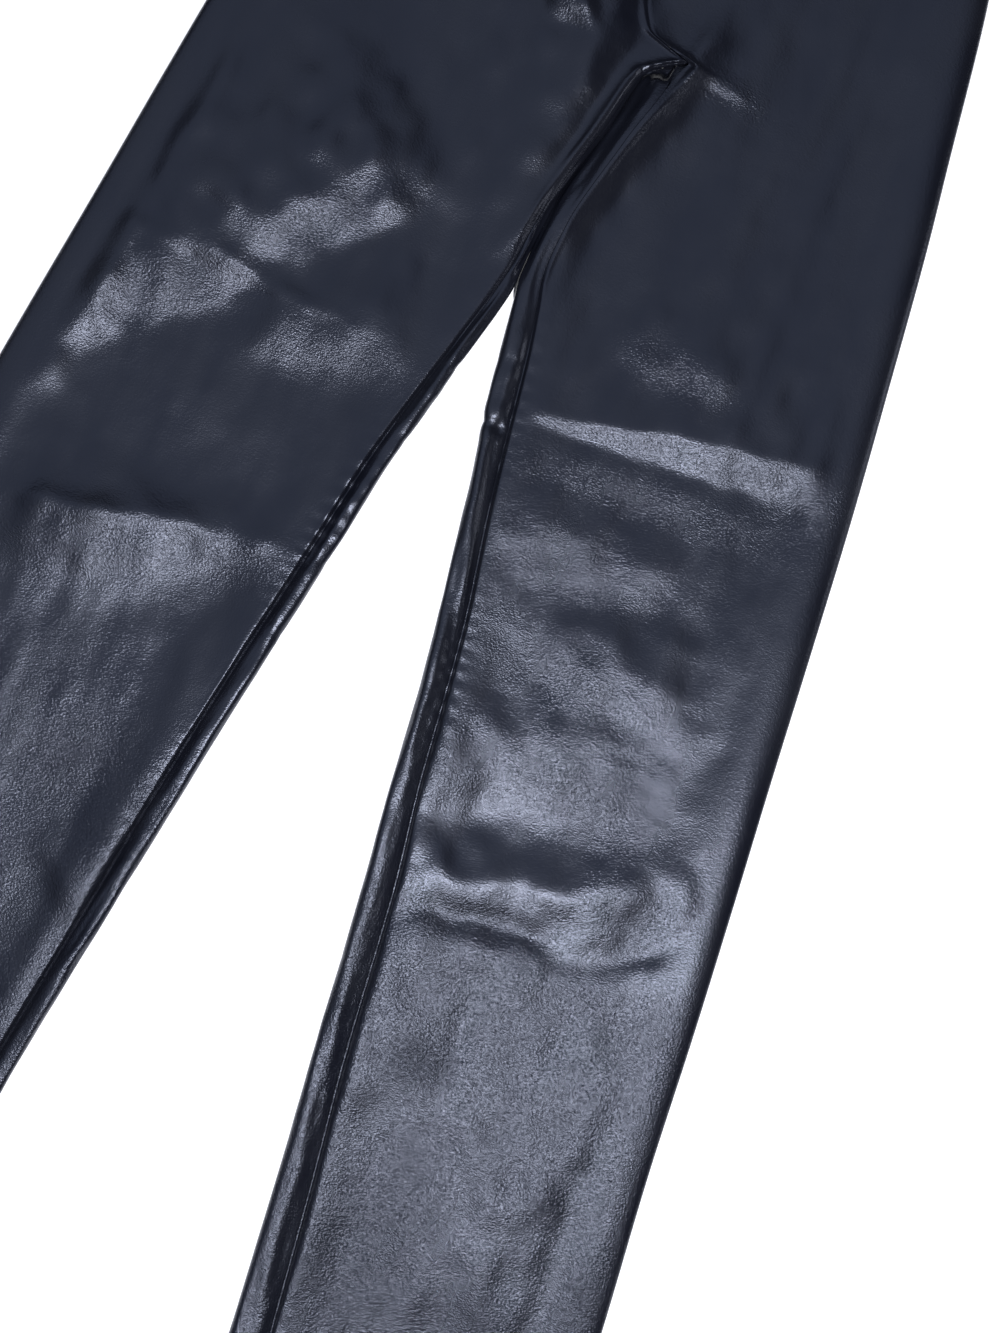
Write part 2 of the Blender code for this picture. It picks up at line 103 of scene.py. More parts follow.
HEM_RISE = 0.5  # the stiff hem stands open a little
HEM_REACH = 45.0

TAB_LENGTH = 24.0  # the waistband's end, lapped over the other end
TAB_STEP = (2.0, 16.0)  # from here to here the lapped end climbs over the other
TAB_JOIN = 1.0  # its columns start this far inside the panel's
TAB_COLUMNS = (1.5, 2.5)  # widths of its columns, on the climb and past it
FLY_TOP = 206.2
FLY_INSET = 0.6  # from the front seam
FLY_WIDTH = 34.0
FLY_ROUND = 98.0  # below here the flap's outer edge curves in to its end
FLY_END = 72.0
FLY_NARROWEST = 0.06  # its end, as a share of its width
FLY_ROW = 3.5  # height of its rows
FLY_CURVE_ROW = 0.1  # and of those along the curve, as a share of it
FLY_COLUMN = 0.08  # its columns' width, as a share of its own
BUTTON_RADIUS = 8.5
BUTTON_HEIGHT = 2.6
BUTTON_AT = (-11.0, 219.0)
BUTTON_PROFILE = (  # shares of its radius and its height, from the middle below to that above
    (0.0, 0.0), (0.8, 0.0), (0.95, 0.1), (1.0, 0.3), (1.0, 0.75), (0.97, 0.9), (0.9, 1.0),
    (0.82, 1.0), (0.75, 0.93), (0.7, 0.75), (0.64, 0.64), (0.5, 0.62), (0.0, 0.62),
)
BUTTON_STEPS = 64
BUTTON_MERGE = 0.00001  # metres


def table(columns, *rows):
    """Named columns of numbers, with the rows put in rising order of the first column."""
    ordered = sorted(rows)
    return {name: np.array([row[i] for row in ordered]) for i, name in enumerate(columns)}


# Outer edge of each leg, measured out from the centre line
OUTER = table(
    ("y", "right", "left"),
    (245, 168.5, 168.5), (207, 176.5, 176.5), (150, 188.5, 188.5),
    (100, 199.5, 199.5), (20, 213.5, 213.5), (-40, 223.5, 224),
    (-120, 233, 236), (-200, 241.5, 247.5), (-280, 250.5, 257.5),
    (-360, 259, 267), (-440, 267, 277), (-520, 275, 286.5),
    (-600, 283, 295), (-700, 293.5, 308), (-850, 309, 325),
)

# Inner edge of each leg: where the top begins to turn down, how far in the turned cloth reaches,
# how round the turn is, and the length of back panel on top, from the inseam to the crest
INNER_COLUMNS = ("y", "crest", "edge", "bulge", "strip")
INNER_ROWS = (  # height, right leg, left leg
    (7, (-48.5, -49.2, 3, 0), (51, 41.3, 5, -1.5)),
    (3, (-41, -42.2, 4, -2), (49.5, 38.5, 5, -2)),
    (-2, (-33.5, -35.7, 4.5, -3), (48, 33.5, 5.5, -2)),
    (-6, (-28, -31, 5, -3.5), (47, 29.2, 6, -2)),
    (-11, (-24, -27.3, 4.5, -4), (45.5, 26.8, 6.5, -2)),
    (-22, (-21, -25.5, 4.5, -4), (43, 26.1, 7, -2)),
    (-42, (-17.6, -22.2, 4.5, -4), (37.5, 22.9, 6.5, -2)),
    (-60, (-13.6, -18.2, 4.5, -3), (32.5, 18.9, 6, -1)),
    (-84, (-8.2, -12.6, 4.5, -2), (26, 13.2, 6, 0)),
    (-109, (-5.2, -9.4, 4.5, 0), (19, 10.1, 5.5, 3)),
    (-145, (-3.6, -8, 4.5, 1.8), (13.9, 8.9, 5, 8)),
    (-160, (-2, -7, 5, 2.8), (16, 11, 5, 9.5)),
    (-200, (5.5, 0.5, 5, 4.4), (22, 17, 5, 11.8)),
    (-280, (21.5, 16.5, 5, 6.6), (38, 33, 5, 10)),
    (-360, (33, 28, 5, 7.6), (53, 48, 5, 11.5)),
    (-440, (45, 40, 5, 8.2), (64.5, 59.5, 5, 11.5)),
    (-520, (55.5, 50.5, 5, 9), (76, 71, 5, 14)),
    (-600, (66.5, 61.5, 5, 7.8), (86.5, 81.5, 5, 14)),
    (-700, (79, 74, 5, 8), (100, 95, 5, 16.5)),
    (-850, (97, 92, 5, 8.5), (118, 113, 5, 21)),
)
INNER = {side: table(INNER_COLUMNS, *((y, *legs[i]) for y, *legs in INNER_ROWS))
         for i, side in enumerate(SIDES)}

# Where the two fronts meet on top, and the two backs underneath
FRONT_SEAM = table(
    ("y", "x"), (245, 0.0), (60, 0.0), (34, 10.5), (22, 17.0), (15, 23.0), (11, 35.0), (7, 49.6)
)
BACK_SEAM = table(("y", "x"), (245, 0.0), (90, 0.0), (60, 4.0), (40, 11.0), (27, 17.0))

# ---------------- how the cloth lies

# How much the seam's allowances lift the cloth along it
SEAM_RISES = table(
    ("y", "right", "left"), (-320, 4.2, 4.2), (-190, 3.0, 3.0), (-140, 2.6, 4.2),
    (-100, 3.0, 6.0), (-32, 3.2, 6.0), (-4, 2.0, 2.4), (7, 2.0, 2.0), (57, 0.4, 0.4)
)
# Beside the crotch the right leg's cloth turns down evenly from its crest, by this share
ROLL = table(("y", "share"), (-200, 0.0), (-150, 0.5), (-115, 1.0), (-8, 1.0), (5, 0.0))
ROLL_POWER = 1.3

# The inseam as a step down into a groove: its depth, and its reach into the front and the back
GROOVE_COLUMNS = ("y", "depth", "front", "back")
INSEAMS = {
    "right": table(
        GROOVE_COLUMNS,
        (0, 1.5, 1.8, 2.2),
        (-110, 0.8, 1.5, 3),
        (-200, 2.6, 1.1, 5),
        (-300, 4, 1, 6),
        (-560, 4.8, 1, 7),
    ),
    "left": table(
        GROOVE_COLUMNS,
        (-110, 0.2, 1.2, 3),
        (-150, 1.5, 1, 7),
        (-200, 3.4, 1, 9),
        (-300, 4.8, 1, 10.5),
        (-700, 5.4, 1, 12),
    ),
}
FRONT_SEAM_GROOVE = (0.5, 1.4, 1.4)

# Bands of cloth that slope, each along a line from (x0, y0) to (x1, y1) and bowed towards the
# waist in the middle by "bow". A positive slope faces the hem, or the right leg where a line
# runs down the leg. The slope is even over a width that goes from w0 to w1, its corners on the
# waist side and on the hem side are rounded over "top" and "low", and beyond them the cloth
# levels out over "up" and "down". Each was placed in the photograph's pixels, and a program
# converted it to these units.
BANDS = table(
    ("x0", "y0", "x1", "y1", "bow", "w0", "w1", "slope", "up", "down", "top", "low"),
    # right leg: the diagonal highlight and the crease that crosses it
    (-170, -229, -49, -99, 3, 45, 30, 0.38, 75, 24, 14, 6.3),
    (-236, -295, -133, -198, 3, 36, 39, 0.32, 40, 26, 12.4, 8.4),
    (-245, -309, -193, -267, 1, 13, 17, 0.25, 10, 14, 6.2, 5.6),
    (-253, -332, -212, -302, 0, 17, 14, 0.25, 12, 14, 6.2, 5.6),
    (-241, -206, -41, -212, 2, 6, 7, -0.2, 9, 3, 2, 1),
    (-241, -213, -42, -220, 2, 3, 3, 0.29, 3, 12, 1, 1.2),
    (-138, -253, -18, -217, 2, 30, 36, 0.25, 40, 22, 9.3, 8.4),
    # above and at the knee
    (-230, -283, -85, -315, 2, 15, 12, 0.17, 16, 22, 7.8, 7),
    (-231, -341, -117, -348, 2, 18, 14, -0.14, 14, 10, 6.8, 5),
    (-189, -361, -35, -343, 4, 18, 14, -0.19, 22, 8, 8.1, 5),
    (-220, -437, -23, -355, 8, 89, 13, 0.19, 11, 40, 2, 12),
    (-207, -467, -97, -437, 4, 42, 36, 0.04, 20, 40, 14, 12.6),
    (-106, -430, -43, -388, -2, 24, 24, -0.09, 14, 20, 8.1, 8.8),
    # below the knee
    (-188, -510, -87, -473, 2, 42, 30, 0.04, 20, 30, 14, 12.6),
    (-124, -580, -80, -521, 0, 36, 30, -0.14, 26, 26, 12.2, 11.2),
    # left leg: beside the crotch and on the thigh
    (49, 35, 213, 49, 3, 13, 13, 0.14, 20, 20, 9.3, 8.4),
    (48, 11, 115, 24, 2, 11, 8, 0.17, 12, 12, 6.2, 5.6),
    (41, 2, 92, 1, 1, 5, 7, 0.42, 7, 10, 2, 2),
    (66, -160, 169, -162, 2, 17, 17, 0.27, 20, 18, 7.8, 8.4),
    (-43, 1, -6, 9, 1, 12, 11, 0.39, 20, 8, 3, 2),
    (-18, 8, -4, 33, 0, 5, 5, 0.57, 5, 5, 1.5, 1.5),
    # the long fold over the knee
    (29, -228, 248, -193, 3, 6, 33, 0.26, 60, 12, 1.2, 1.2),
    (40, -244, 188, -228, 2, 24, 20, 0.05, 8, 18, 6.2, 8.4),
    # the knee
    (44, -304, 178, -280, 2, 31, 24, 0.12, 14, 12, 9.3, 9.8),
    (103, -330, 215, -302, 2, 15, 18, -0.11, 10, 10, 5.4, 6.2),
    (54, -343, 216, -356, 4, 7, 39, 0.21, 14, 6, 10.8, 2),
    (162, -316, 261, -304, 2, 20, 18, 0.06, 14, 14, 10.8, 9.8),
    # below the knee, down to the deep crease
    (60, -452, 208, -401, 5, 56, 37, 0.11, 20, 14, 12.4, 8.4),
    (59, -485, 262, -400, -17, 43, 37, -0.17, 14, 8, 6.8, 3.8),
    (160, -414, 259, -376, 0, 30, 30, -0.08, 14, 14, 8.1, 7.5),
    (97, -512, 192, -491, 1, 10, 11, 0.12, 5, 5, 1.6, 1.6),
    (162, -504, 283, -438, -7, 33, 30, 0.09, 10, 5, 6.2, 2.2),
    (85, -524, 209, -508, -2, 17, 21, -0.31, 3, 16, 1.6, 4),
    (182, -522, 287, -454, -8, 13, 10, -0.2, 4, 18, 1.6, 4),
    (80, -541, 156, -528, -2, 33, 24, -0.07, 14, 14, 8.1, 7.5),
    (99, -574, 153, -545, 0, 20, 18, -0.12, 12, 12, 6.8, 6.2),
    (98, -641, 179, -596, 0, 24, 19, 0.09, 12, 26, 6.8, 7.5),
    (85, -773, 293, -668, 0, 77, 77, 0.05, 120, 60, 16.2, 20),
    (85, -656, 178, -601, 4, 71, 65, 0.06, 24, 100, 16.2, 20),
    (193, -634, 262, -584, -5, 36, 30, 0.04, 20, 26, 13.5, 15),
    (257, -514, 262, -779, 0, 13, 18, -0.3, 10, 45, 5, 7),
    (7, 97, -7, -185, 0, 27, 7, -0.42, 7, 60, 2.2, 4),
    (72, 55, -4, -152, 0, 15, 15, -0.5, 30, 6, 5, 2.5),
)
BAND_ENDS = 0.28  # a band fades in and out over this share of its length
BAND_LIFT = 0.6  # a band's middle is above the level by this share of half its fall
BAND_VARIETY = 0.07  # how much a band's slope varies
VARIETY_SIZE = 30.0  # over about this distance
FADE_AT_EDGE = 18.0  # creases die out over this width beside an outer edge
FADE_AT_SEAM = 5.0  # and over this beside an inseam
SEAM_CROSSED = 14.0  # they run on across the front seam this far above the crotch

# The creases' lines are drawn out of true over these sizes by these amounts
WARPS = ((95.0, 1.6), (27.0, 0.5), (9.0, 0.12))

# Unevenness of the whole cloth: size along the leg and across it, and height
SWELLS = ((110.0, 75.0, 0.30), (90.0, 22.0, 0.10), (34.0, 30.0, 0.09), (15.0, 12.0, 0.03))

# The small creases: lengths along and across a patch, as shares of the distance from one to the
# next, the ridges' height as a share of the troughs' depth, and how narrow the troughs are
WRINKLE_LONG = 2.2
WRINKLE_WIDE = 1.3
WRINKLE_RIDGE = 0.35
WRINKLE_TROUGH = 0.45
WRINKLE_FAINTEST = 0.02  # a patch weaker than this everywhere is left out

# Patches of small creases: middle, half sizes, the direction in which they run, the distance
# from one to the next, their depth, and how much the grain stands out among them. The last
# five middles were placed like the bands.
PATCHES = table(
    ("x", "y", "along", "across", "turn", "wave", "depth", "grain"),
    (-185, -240, 60, 26, 40, 9, 0.1, 0.6), (-110, -165, 55, 20, 44, 8, 0.07, 0.6),
    (-80, -236, 52, 20, 8, 6, 0.08, 0.6), (-165, -395, 80, 34, 14, 11, 0.12, 0.6),
    (-70, -370, 40, 20, 14, 7, 0.08, 0.6), (-150, -500, 70, 50, 60, 12, 0.08, 0.6),
    (130, -240, 90, 16, 6, 6, 0.07, 0.6), (215, -208, 34, 20, 30, 6, 0.14, 0.6),
    (105, -290, 66, 26, 0, 8, 0.14, 0.6), (130, -352, 76, 24, -12, 8, 0.11, 0.6),
    (120, -165, 40, 16, -8, 6, 0.08, 0.6), (175, -412, 66, 34, -6, 11, 0.2, 0.6),
    (90, -425, 40, 30, 10, 9, 0.1, 0.6), (225, -470, 40, 34, 40, 8, 0.14, 0.6),
    (150, -500, 60, 14, 12, 7, 0.1, 0.6), (170, -650, 70, 120, 75, 9, 0.05, 0.6),
    (75, 2, 34, 12, -8, 5, 0.08, 0.6), (160, -714, 140, 62, -96, 8, 0.05, 0.9),
    (292, -681, 70, 26, -100, 7, 0.06, 1), (144, -597, 34, 26, 20, 7, 0.1, 1.1),
    (242, -729, 60, 60, 0, 8, 0.05, 0.9), (-124, -521, 60, 50, 50, 8, 0.08, 0.9),
)

# Where the cloth is bent, its grain stands out
BENT_GRAIN = 0.45  # by this much on slopes steeper than BENT_SLOPE
BENT_SLOPE = 0.28
SHIN_GRAIN = 0.6  # and by this much below the knees
GRAIN_TOP = 2.0  # the most that it may stand out
SHIN_FROM = -470.0
SHIN_FADE = 60.0

# Puckers along a seam: how far from one to the next, their depth, how far from the seam their
# middle is and how far they reach from there
PUCKER_STEP = 10.5
PUCKER_DEPTH = 0.5
PUCKER_MIDDLE = 2.5
PUCKER_REACH = 5.0
PUCKER_DRIFT = (2.2, 19.0)  # they drift to and fro by this turn, over this length
PUCKER_EVEN = 0.45  # this share of their depth is the same for all
PUCKER_UNEVEN = (0.55, 33.0)  # and this share comes and goes over this length
PUCKER_TURN = 40.0  # sets the two legs' puckers apart
PUCKER_FROM = -150.0  # they begin here, below the crotch
PUCKER_FADE = 90.0

# The right front's edge over the opening at the crotch is gathered
POUCH_STEP = 5.2
POUCH_DEPTH = 0.7
POUCH_REACH = 5.0
POUCH_FROM = -16.0
POUCH_FADE = 8.0
POUCH_DRIFT = (2.0, 7.0)  # the gathers drift by this turn, over this length

# Below that edge the left leg's cloth sinks by this share of its height between these heights
HOLLOW = 0.85
HOLLOW_FROM = -10.0
HOLLOW_STEP = 9.0
HOLLOW_TO = 12.0
HOLLOW_FLOOR = 1.8  # but not below this height
HOLLOW_SPAN = (0.18, 0.95, 0.3)  # shares of the back's top and inner wall, see between()

# Dents and ridges across the strips on top: which leg, where, depth (negative for a ridge),
# half length up the leg and how far one end is higher than the other
STRIP_MARKS = (
    ("left", -236, 1.7, 2.2, 3),
    ("left", -228, -0.9, 5, 3),
    ("left", -243, -0.7, 4, 2),
    ("left", -196, 0.7, 4, -3),
    ("left", -560, 0.5, 2, 1),
    ("right", -214, 0.7, 3, 4),
    ("right", -232, -0.6, 5, 2),
    ("right", -262, 0.6, 3, -3),
    ("right", -352, 0.8, 3, 3),
    ("right", -398, 0.7, 3.5, -2),
)
STRIP_SWELLS = ((58.0, 0.30), (24.0, 0.13))  # size along a strip, and height
STRIP_GRAIN = 9.0  # size of both across it
STRIP_WIDTH = 22.0  # of a strip and its inner wall
STRIP_SPAN = (0.2, 0.9, 0.4)  # shares of that width, see between()
STRIP_FADE = 20.0  # the dents and ridges fade out over this height below the crotch

# ---------------- fineness of the meshes

def steps(start, stop, step):
    """Even steps from start to stop, stop included, of about the given length."""
    return np.linspace(start, stop, int(round(abs(stop - start) / step)) + 1)


FINE_ROWS = (36.0, -40.0)  # the rows are closest between these heights, at the crotch
HEM_STEP = 0.8  # the cloth becomes double over this height
LEG_ROWS = np.concatenate((
    steps(WAIST_SEAM - GAP / 2, FINE_ROWS[0], 3.4)[:-1],
    steps(*FINE_ROWS, 1.1)[:-1],
    steps(FINE_ROWS[1], HEM + HEM_DEPTH, 2.7),
    steps(HEM + HEM_DEPTH - HEM_STEP, HEM, 2.7),
))
BAND_ROWS = steps(WAIST_TOP, WAIST_SEAM + GAP / 2, 2.5)
ROLL_COLUMNS = 12  # columns over the outer edge's roll, on the front and on the back
FLAT_COLUMNS = 86  # over the flat of a front
SEAM_ZONE = 9.0  # width beside a front's seam that has closer columns
SEAM_COLUMNS = 13
WALL_COLUMNS = 30  # over a back's strip and inner wall
UNDER_COLUMNS = 16  # over its flat underside
TOP_SAMPLES = 260  # points that a section has over a leg's top,
TOP_CLOSER = 1.6  # which lie closer together towards its last end by this power,
WALL_SAMPLES = 49  # down the inner edge
ROLL_SAMPLES = 25  # and round the outer edge
FLAT_WALL = 26.0  # width that the wall's columns take where a back lies flat
SHARP_ANGLE = 70.0  # degrees between faces that keep an edge
SPARE = 6.0  # length that a section runs on past a panel's end


def curve(data, column, y):
    """One column of a table at y, on a smooth curve that never overshoots its rows."""
    ys = data["y"]
    values = data[column]
    gaps = np.diff(ys)
    slopes = np.diff(values) / gaps
    product = slopes[:-1] * slopes[1:]
    total = np.where(slopes[:-1] + slopes[1:] == 0, 1.0, slopes[:-1] + slopes[1:])
    inside = np.where(product > 0, 2 * product / total, 0.0)
    tangents = np.concatenate((slopes[:1], inside, slopes[-1:]))
    at = np.clip(y, ys[0], ys[-1])
    i = np.clip(np.searchsorted(ys, at) - 1, 0, len(gaps) - 1)
    h = gaps[i]
    t = (at - ys[i]) / h
    return (values[i] * (1 + 2 * t) * (1 - t) ** 2 + values[i + 1] * t * t * (3 - 2 * t)
            + h * tangents[i] * t * (1 - t) ** 2 + h * tangents[i + 1] * t * t * (t - 1))


def ease(t):
    """0 to 1 with flat ends."""
    t = np.clip(t, 0.0, 1.0)
    return t * t * (3 - 2 * t)


def bell(t):
    """1 at 0, falling off smoothly on both sides."""
    return np.exp(-t * t)


def between(share, rise, end, fall):
    """0 at 0 and past "end", and 1 between them: it comes in over "rise" and goes over "fall"."""
    return ease(share / rise) * ease((end - share) / fall)


def soft_floor(value, lowest, soft=0.5):
    """A value kept above a lowest one, with a rounded corner."""
    return lowest + soft * np.logaddexp(0, (value - lowest) / soft)


# ---------------- creases

def random_waves(seed, spread=math.pi, count=22):
    """Waves to be added together, of lengths near 1, that travel within "spread" of the second
    axis: how fast each one turns along the first axis and the second, and its phase."""
    draw = np.random.default_rng(seed)
    angle = spread * draw.uniform(-1, 1, count)
    turning = 2 * math.pi / draw.uniform(0.7, 1.6, count)
    return np.sin(angle) * turning, np.cos(angle) * turning, draw.uniform(0, 2 * math.pi, count)


def rough(waves, u, v):
    """The sum of random waves at u, v, usually between -2 and 2."""
    travel = (np.multiply.outer(waves[0], u) + np.multiply.outer(waves[1], v)
              + waves[2].reshape((-1,) + (1,) * np.ndim(u)))
    return np.sin(travel).sum(axis=0) * math.sqrt(2 / len(waves[2]))


WARP_WAVES = [(random_waves(10 + i), random_waves(20 + i)) for i in range(len(WARPS))]
SWELL_WAVES = [random_waves(30 + i) for i in range(len(SWELLS))]
VARIETY_WAVES = random_waves(40)
PATCH_WAVES = [random_waves(50 + i, spread=0.7) for i in range(len(PATCHES["x"]))]
STRIP_SWELL_WAVES = {side: [random_waves(90 + 2 * i + turn) for i in range(len(STRIP_SWELLS))]
                     for side, turn in SIDES.items()}


def warped(x, y):
    """The place whose creases a place on the garment shows, a little out of line."""
    shift_x, shift_y = (
        sum(amount * rough(waves[axis], x / size, y / size)
            for (size, amount), waves in zip(WARPS, WARP_WAVES))
        for axis in (0, 1))
    return x + shift_x, y + shift_y


def bands(x, y):
    """Height that the sloping bands add at places on the garment."""
    variety = 1 + BAND_VARIETY * rough(VARIETY_WAVES, x / VARIETY_SIZE, y / VARIETY_SIZE)
    x, y = warped(x, y)
    total = np.zeros_like(x)
    for x0, y0, x1, y1, bow, w0, w1, slope, up, down, top, low in zip(*BANDS.values()):
        length = math.hypot(x1 - x0, y1 - y0)
        along = ((x - x0) * (x1 - x0) + (y - y0) * (y1 - y0)) / length
        across = ((y - y0) * (x1 - x0) - (x - x0) * (y1 - y0)) / length
        t = along / length
        inside = np.clip(t, 0, 1)
        across = across - bow * 4 * inside * (1 - inside)
        half = (w0 + (w1 - w0) * inside) / 2
        above, below = soft_floor(across - half, 0.0, top), soft_floor(-half - across, 0.0, low)
        ramp = across - (above - top * math.log(2)) + (below - low * math.log(2))
        beyond = np.exp(-above / up - below / down)
        ends = ease(t / BAND_ENDS) * ease((1 - t) / BAND_ENDS)
        total += (slope * ramp + abs(slope) * BAND_LIFT * half) * beyond * ends
    return total * variety


def swells(x, y):
    """Height of the cloth's general unevenness."""
    return sum(height * rough(waves, y / along, x / across)
               for (along, across, height), waves in zip(SWELLS, SWELL_WAVES))


def patch_frame(patch, x, y):
    """How far along and across a patch's own direction, and how strong the patch is there."""
    px, py, along, across, turn = patch[:5]
    angle = math.radians(turn)
    u = (x - px) * math.cos(angle) + (y - py) * math.sin(angle)
    v = (y - py) * math.cos(angle) - (x - px) * math.sin(angle)
    return u, v, bell(u / along) * bell(v / across)


def wrinkles(x, y):
    """Height of the small creases in their patches: narrow troughs between soft ridges."""
    total = np.zeros_like(x)
    for patch, waves in zip(zip(*PATCHES.values()), PATCH_WAVES):
        wave, depth = patch[5:7]
        u, v, share = patch_frame(patch, x, y)
        if np.max(share) > WRINKLE_FAINTEST:
            height = rough(waves, u / (WRINKLE_LONG * wave), v / (WRINKLE_WIDE * wave))
            total += depth * share * (WRINKLE_RIDGE * height - bell(height / WRINKLE_TROUGH))
    return total


def grain_strength(x, y):
    """How much the leather's grain stands out: 0 where it lies smooth, 1 or more where it is
    bent."""
    slope = (bands(x, y + 1) - bands(x, y - 1)) / 2
    total = BENT_GRAIN * ease(slope / BENT_SLOPE)
    for patch in zip(*PATCHES.values()):
        total = np.maximum(total, patch[7] * patch_frame(patch, x, y)[2])
    return np.maximum(total, SHIN_GRAIN * ease((SHIN_FROM - y) / SHIN_FADE))


def puckers(y, side):
    """How the puckers along a seam go up and down."""
    drift, drift_length = PUCKER_DRIFT
    share, length = PUCKER_UNEVEN
    travel = 2 * math.pi * y / PUCKER_STEP + drift * np.sin(y / drift_length) + PUCKER_TURN * side
    return np.sin(travel) * (PUCKER_EVEN + share * np.sin(y / length + side))


def strip_relief(side, y, share):
    """Height of the dents and ridges of a back's strip and inner wall, from its seam (share 0)
    to its foot (share 1)."""
    across = STRIP_WIDTH * share / STRIP_GRAIN
    total = sum(height * rough(waves, y / size + 0 * across, across + 0 * y)
                for (size, height), waves in zip(STRIP_SWELLS, STRIP_SWELL_WAVES[side]))
    for leg, middle, depth, reach, lean in STRIP_MARKS:
        if leg == side:
            total -= depth * bell((y - middle - lean * share) / reach)
    return total * between(share, *STRIP_SPAN)


def hollow(y, share):
    """How much of its height the left back loses in the opening at the crotch."""
    along = ease((y - HOLLOW_FROM) / HOLLOW_STEP) * ease((HOLLOW_TO - y) / HOLLOW_STEP + 1)
    return HOLLOW * along * between(share, *HOLLOW_SPAN)


# ---------------- sections of a leg

def outer_edge(side, y):
    """Outer end of a leg's row, where the row's tilt has lifted it."""
    return curve(OUTER, side, y + row_tilt(y))


def row_tilt(y):
    """How much higher a row's outer end is than its inner end."""
    return TILT * ease((TILT_FROM - y) / TILT_LENGTH)


def row_height(side, q, y, dip):
    """Height on the garment of a point at q in the row of height y."""
    inner = curve(INNER[side], "crest", y)
    outer = outer_edge(side, y)
    tilt = row_tilt(y) * (q - inner) / (outer - inner)
    bend = dip * (1 - (q / outer) ** 2) * ease((y - WAIST_BEND) / (WAIST_SEAM - WAIST_BEND))
    return y + tilt + bend


def seam_line(side, y):
    """Where a front panel ends on top: the inseam below the crotch point, the front seam above."""
    if y > JOIN:
        return SIDES[side] * curve(FRONT_SEAM, "x", y)
    return curve(INNER[side], "crest", y) + max(curve(INNER[side], "strip", y), 0.0)


def groove(side, y, from_seam):
    """Depth of the groove at a distance out from the seam, negative on the back's side."""
    share = ease((y - JOIN) / GROOVE_CHANGE)
    depth, front_reach, back_reach = (
        (1 - share) * curve(INSEAMS[side], name, y) + share * high
        for name, high in zip(GROOVE_COLUMNS[1:], FRONT_SEAM_GROOVE))
    strip = np.clip(1 + from_seam / back_reach, 0, 1) ** STRIP_POWER
    return depth * np.where(from_seam > 0, bell(from_seam / front_reach), strip)


def top_height(side, q, y):
    """Height of the top of a leg over the table at q in the row of height y."""
    garment_y = row_height(side, q, y, -FRONT_DIP)
    x = SIDES[side] * q
    from_edge = outer_edge(side, y) - EDGE_ROLL - q
    from_seam = q - seam_line(side, y)
    beside = ease((y - SEAM_REACH_FROM) / SEAM_REACH_FADE)
    across_seam = ease((y - JOIN) / SEAM_CROSSED)
    inside = ease(from_edge / FADE_AT_EDGE) * (
        across_seam + (1 - across_seam) * ease(from_seam / FADE_AT_SEAM))
    height = LEVEL + (EDGE_HEIGHT - LEVEL) * bell(from_edge / EDGE_REACH)
    reach = SEAM_REACH + (SEAM_REACH_HIGH[side] - SEAM_REACH) * beside
    crest = SEAM_CREST * ease((SEAM_CREST_FROM - y) / SEAM_CREST_FADE) * (side == "right")
    beyond = np.maximum(from_seam, 0) - crest
    height += curve(SEAM_RISES, side, y) * bell(
        beyond / np.where(beyond > 0, reach - crest, SEAM_SHOULDER))
    height += CROTCH_RISE * bell(np.hypot((x - CROTCH_AT[0]) / CROTCH_REACH[0],
                                          (garment_y - CROTCH_AT[1]) / CROTCH_REACH[1]))
    height += HEM_RISE * bell((y - HEM) / HEM_REACH)
    height += inside * (bands(x, garment_y) + swells(x, garment_y) + wrinkles(x, garment_y))
    height -= groove(side, y, from_seam)
    height += (PUCKER_DEPTH * puckers(garment_y, SIDES[side])
               * bell((np.abs(from_seam) - PUCKER_MIDDLE) / PUCKER_REACH)
               * ease((PUCKER_FROM - y) / PUCKER_FADE))
    if side == "right":
        from_crest = q - curve(INNER[side], "crest", y)
        drift = POUCH_DRIFT[0] * np.sin(x / POUCH_DRIFT[1])
        height += (POUCH_DEPTH * np.sin(2 * math.pi * x / POUCH_STEP + drift)
                   * bell(from_crest / POUCH_REACH) * ease((y - POUCH_FROM) / POUCH_FADE))
    return soft_floor(height, LEVEL_MIN)


class Section:
    """A line round part of a leg at one height, as q and z over the distance along it."""

    def __init__(self, *stretches):
        """stretches: the (q, z) arrays of each stretch, end to end."""
        self.q = np.concatenate([stretch[0] for stretch in stretches])
        self.z = np.concatenate([stretch[1] for stretch in stretches])
        lengths = np.hypot(np.diff(self.q), np.diff(self.z))
        self.s = np.concatenate(([0.0], np.cumsum(lengths)))
        self.ends = self.s[np.cumsum([len(stretch[0]) for stretch in stretches]) - 1]

    def at(self, s):
        """The q and z at the distances s along the line."""
        return np.stack((np.interp(s, self.s, self.q), np.interp(s, self.s, self.z)))


def outer_roll(side, y, first, last):
    """The rolled outer edge between two angles: -90 on the table, 0 outermost and 90 on top."""
    edge = outer_edge(side, y)
    height = top_height(side, edge - EDGE_ROLL, y)
    angle = np.radians(np.linspace(first, last, ROLL_SAMPLES))
    return edge - EDGE_ROLL * (1 - np.cos(angle)), height / 2 * (1 + np.sin(angle))


def upper_side(side, y, first, last):
    """The top of a leg between two values of q, finest at the last."""
    q = last + (first - last) * np.linspace(1, 0, TOP_SAMPLES) ** TOP_CLOSER
    return q, top_height(side, q, y)


